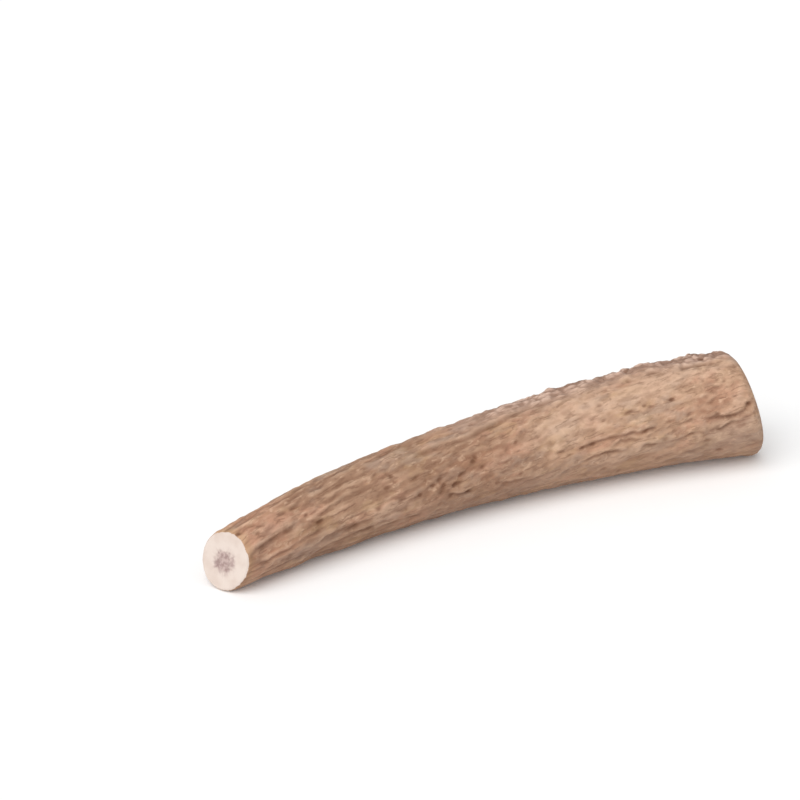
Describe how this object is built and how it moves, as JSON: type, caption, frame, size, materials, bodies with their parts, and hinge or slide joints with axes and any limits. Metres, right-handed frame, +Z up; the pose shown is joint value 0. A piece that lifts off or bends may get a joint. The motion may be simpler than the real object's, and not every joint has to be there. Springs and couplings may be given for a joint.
{
  "type": "deer antler",
  "caption": "Sawn length of deer antler: a gently bent, tapering beam with furrowed tan bark, cream sawn ends and a spongy core, lying on its side.",
  "frame": {"origin": "On the surface that the antler lies on, under the middle of its bounding box.", "axes": "+X runs from the thin sawn end to the thick one, along the straight line between them. +Z is up. The beam bulges towards +Y, and its hollow side faces -Y."},
  "size_m": [0.2176, 0.0452, 0.0386],
  "materials": {
    "antler_bark": "dry, dull antler: furrowed tan to pinkish brown bark, pale cream and slightly sanded on the sawn ends"
  },
  "bodies": {
    "root": {"antler": "antler_bark"}
  },
  "joints": []
}
